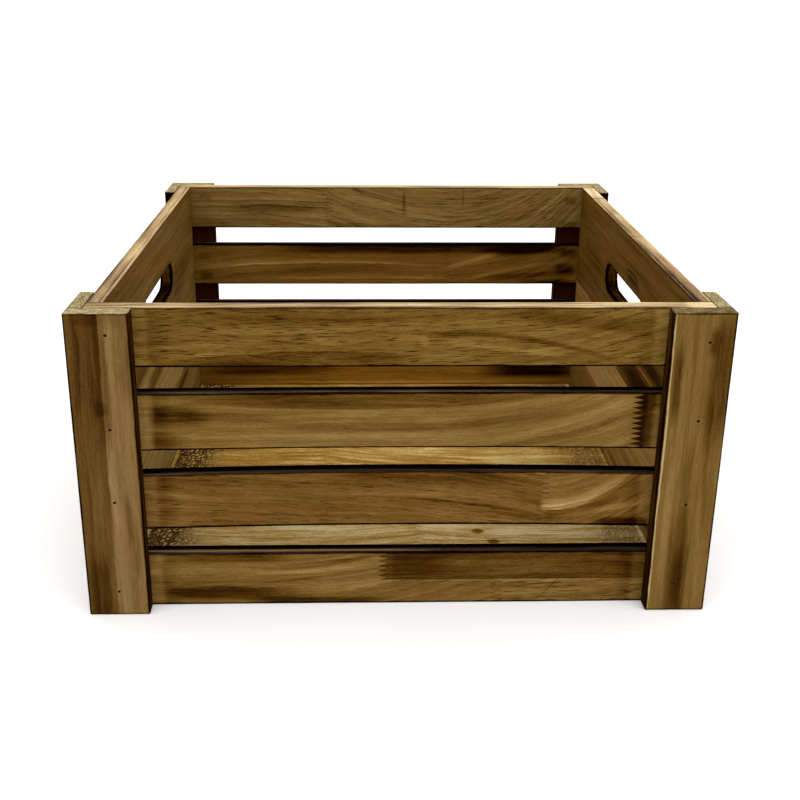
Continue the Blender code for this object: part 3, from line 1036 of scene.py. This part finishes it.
LOOKS["back_slat_4"] = dict(
    rows=[(43, [Stave(until=-62, seed=9, tone=0.14, flecks=0.2),
                Stave(seed=9.4, tone=0.2, flecks=0.2)])],
    edges=(BLACK_EDGE, CHAR_SHADE_AND_SHEEN_EDGE),
    shy=None, inner_tint=(1.08, 0.85, 0.3), darkest=0.06,
    inner=[
        mark(-130, 28, (75, 95), (8, 12), 0.36), mark(165, 27, (75, 50), (11, 14), 0.66),
        mark(0, 14, 200, (1.2, 2.4), -0.22), mark(-100, 11, (100, 60), 0.9, 0.5),
        mark(130, 10.6, 60, 1.3, 0.6),
    ],
)
LOOKS["left_end_panel"] = dict(
    # Painted light: the lower rows' stave tones are raised to make up for the shade that falls on them inside
    # the crate
    rows=[
        (66, [Stave(until=40, seed=10, tone=0.38), Stave(seed=10.2, tone=0.24)]),
        (138, [Stave(until=-20, seed=10.4, tone=0.4), Stave(until=85, seed=10.5, tone=0.4, flecks=0.5),
               Stave(seed=10.6, tone=0.12)]),
        (205, [Stave(seed=10.8, tone=0.07)]),
        (228, [Stave(seed=10.9, tone=0.07)]),
    ],
    contrast=0.75, outer_calm=0.55, glue=0.46, inner_tint=(1.05, 1, 0.8),
    edges=(BLACK_EDGE, (BARE, 0.5, 0.9, [
        mark(-150, 4, 60, 20, 0.1), band(11, 2.6, -0.26, reach=400), band(8.4, 0.7, 0.24, reach=400),
        band(2, (9, 1.6), 0.12, reach=400),
    ])),
    inner=[
        mark(-30, 114, 44, 12, 0.4), mark(-80, 134, 40, 6, 0.4), mark(85, 58, 40, 7, 0.4),
        mark(78, 160, (20, 85), 26, 0.14), mark(150, 146, 60, 14, -0.14),
        mark(-135, 100, 26, 60, 0.26), mark(-80, 18, 120, 3, 0.24),
    ],
)
LOOKS["right_end_panel"] = dict(
    # Painted light: the lower rows' stave tones are raised to make up for the shade that falls on them inside
    # the crate
    rows=[
        (60, [Stave(until=20, seed=11, tone=0.34), Stave(seed=11.2, tone=0.2, flecks=0.5)]),
        (104, [Stave(seed=11.4, tone=0.44)]),
        (131, [Stave(until=0, seed=11.5, tone=-0.1), Stave(seed=11.6, tone=0.26)]),
        (205, [Stave(seed=11.8)]),
        (228, [Stave(seed=11.9)]),
    ],
    contrast=0.8, outer_calm=0.55, inner_tint=(1.03, 0.92, 0.62),
    edges=(BLACK_EDGE, (BARE, 0.55, 0.9, [
        mark(-160, 5, (60, 110), 20, 0.2), mark(156, 5, (26, 40), 20, -0.24),
        mark(130, 5, 1.6, 20, 0.4), mark(-10, 5, 1.4, 20, 0.24),
        mark(-20, 9.5, (300, 150), (3.5, 4), 0.34), band(10.6, (0.7, 0.8), -0.5, reach=400),
        band(0.5, (1, 1.4), -0.5, reach=400),
    ])),
    inner=[
        mark(-24, 199.5, 22, (1.3, 1.1), 0.8, curve=-0.004), mark(-28, 193, (24, 26), 6, 0.2),
        mark(-90, 117, (160, 92), 14, 0.34), mark(-90, 143, 48, 10, 0.36),
        mark(110, 168, 50, 30, 0.1), mark(-90, 132, 60, 0.8, -0.36), mark(-80, 20, 120, (3, 5), 0.36),
    ],
)


def plain_look(node, kind):
    """A board that shows little: staves, joints and burnt patches come from a seed made of its name."""
    dice = random.Random(node)
    seed = 20 + 40 * dice.random()
    staves = []
    for until in (dice.uniform(-120, -40), dice.uniform(20, 130), None):
        bend = (dice.uniform(-100, 100), dice.uniform(-6, 12) * 1e-4, dice.uniform(-6, 20) * 1e-4)
        staves.append(Stave(
            until, seed + 5 * dice.random(), dice.uniform(-0.08, 0.06), dice.uniform(0.2, 0.7), bend))
    if kind in ("post", "batten"):
        staves = [Stave(None, seed, 0, 0.2)]
    patches = []
    for _ in range(4):
        at = (dice.uniform(-180, 200), dice.uniform(0, 40))
        reach = (dice.uniform(30, 90), dice.uniform(30, 90))
        height = (dice.uniform(4, 11), dice.uniform(4, 11))
        slope = dice.uniform(-0.06, 0.06)
        patches.append(mark(*at, reach, height, dice.uniform(0.16, 0.34), slope))
    look = {"rows": [(WHOLE_WIDTH, staves)], "outer": patches, "inner": patches[:2]}
    look["edges"] = (BLACK_EDGE, CHAR_SHADE_AND_SHEEN_EDGE)
    if kind in ("post", "batten"):
        look["edges"] = (BLACK_EDGE if kind == "batten" else TORCHED_EDGE, TORCHED_EDGE)
        look["end_tone"] = 0.74
    if kind == "post":
        look["inner"] = [mark(114, 21, 900, 900, 0.38)]
        look["inner_tint"] = (1.4, 0.7, 0.6)
    return look


def floor_look(node):
    dice = random.Random(node)
    seed = 60 + 30 * dice.random()
    until = dice.uniform(-60, 60)
    first = Stave(until, seed, 0, 0.4, (-90, 0.0004, 0.0008))
    staves = [first, Stave(None, seed + 2, 0.08, 0.4, (90, 0.001, 0))]
    look = dict(
        rows=[(WHOLE_WIDTH, staves)], edges=(BLACK_EDGE, TORCHED_EDGE), palette=GOLDEN,
        tone=0.72, contrast=2, burn=0.25, rings=0.2, char=(20, 34),
    )
    look.update(FLOOR_MARKS.get(node, {}))
    return look


FLOOR_MARKS = {
    "floor_board_1": dict(tone=0.84, tint=(0.98, 1.03, 1.2), outer=[
        dict(at=(66, 65), radius=5, strength=0.5), dict(at=(77, 50), radius=5, strength=0.5),
        mark(66, 65, 22, 9, 0.12),
    ]),
    "floor_board_2": dict(tint=(1, 0.98, 0.9), outer=[mark(115, 60, 44, 90, -0.12)]),
    "floor_board_3": dict(outer=[
        mark(110, 110, (60, 70), 1.6, 0.5), band(105, 2.4, -0.2, 190), band(112, 2.4, 0.2, 190),
    ]),
}


def look_of(node, kind):
    if kind == "floor_board":
        look = floor_look(node)
    else:
        look = dict(LOOKS.get(node) or plain_look(node, kind))
    look.setdefault("seed", 1 + random.Random(node).random() * 9)
    if kind == "slat":
        look.setdefault("shy", SLAT_SHY)
        look.setdefault("shade_at_lower_edge", 1.4)
    return look


# Each kind's axes along, across and through the board
AXES = {
    "slat": (X, Z, Y), "post": (Z, X, Y), "batten": (Z, Y, X),
    "end_panel": (Y, Z, X), "floor_board": (X, Y, Z),
}


def kind_of(node):
    return next(kind for kind in AXES if kind in node)


def outer_is_high(node, kind):
    """True if the board's outer face is its high face: the back slats and posts, the right end, the floor."""
    if kind in ("slat", "post"):
        return node.startswith("back")
    if kind in ("batten", "end_panel"):
        return "right" in node
    return True


# ---- studio


def studio_white():
    """A matt white that is very slightly mottled."""
    material, tree, shader = new_material("studio_white")
    place = [axis * (1 / MM) for axis in object_point(tree)]
    white = cloud(place, (3.0, 3.0, 3.0), 0.0, 2.0) * 0.01 + STUDIO_WHITE
    feed(tree, shader.inputs["Base Color"], vector(tree, white, white, white))
    shader.inputs["Roughness"].default_value = 0.9
    shader.inputs["Specular IOR Level"].default_value = 0.0
    return material


def add_floor():
    corners = []
    for step in range(FLOOR_SIDES):
        turn = 2 * math.pi * step / FLOOR_SIDES
        corners.append((FLOOR_REACH * math.cos(turn), FLOOR_REACH * math.sin(turn), FLOOR_DROP))
    studio_floor = add_mesh("studio_floor", corners, [list(range(FLOOR_SIDES))])
    studio_floor.data.materials.append(studio_white())


def add_light():
    world = bpy.data.worlds.new("studio")
    world.use_nodes = True
    background = world.node_tree.nodes["Background"]
    background.inputs["Color"].default_value = (1, 1, 1, 1)
    background.inputs["Strength"].default_value = SKY_STRENGTH
    bpy.context.scene.world = world

    data = bpy.data.lights.new("soft_sun", "SUN")
    data.energy = SUN_STRENGTH
    data.angle = SUN_SPREAD
    lamp = add_object("soft_sun", data)
    lamp.rotation_euler = (-SUN_FROM).to_track_quat("-Z", "Y").to_euler()


def add_camera():
    forward = Vector((
        math.sin(CAMERA_YAW) * math.cos(CAMERA_PITCH),
        math.cos(CAMERA_YAW) * math.cos(CAMERA_PITCH),
        -math.sin(CAMERA_PITCH),
    ))
    level = Vector((math.cos(CAMERA_YAW), -math.sin(CAMERA_YAW), 0.0))
    upright = level.cross(forward)
    right = math.cos(CAMERA_ROLL) * level + math.sin(CAMERA_ROLL) * upright
    up = right.cross(forward)
    data = bpy.data.cameras.new("camera")
    data.lens = CAMERA_LENS
    data.sensor_width = CAMERA_SENSOR
    data.shift_x, data.shift_y = CAMERA_SHIFT
    data.clip_start, data.clip_end = 0.05, 60.0
    camera = add_object("camera", data)
    turn = Matrix((right, up, -forward)).transposed().to_4x4()
    camera.matrix_world = Matrix.Translation(CAMERA_PLACE) @ turn
    bpy.context.scene.camera = camera


BRADS = sorted(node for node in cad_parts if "brad" in node)

add_camera()
add_light()
add_floor()
bpy.context.scene.view_settings.view_transform = "Standard"

for board_node in sorted(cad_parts):
    if board_node not in BRADS:
        make_board(board_node, kind_of(board_node))

brad_steel = steel()
for brad_node in BRADS:
    brad_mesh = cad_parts[brad_node].data
    brad_mesh.materials.clear()
    brad_mesh.materials.append(brad_steel)
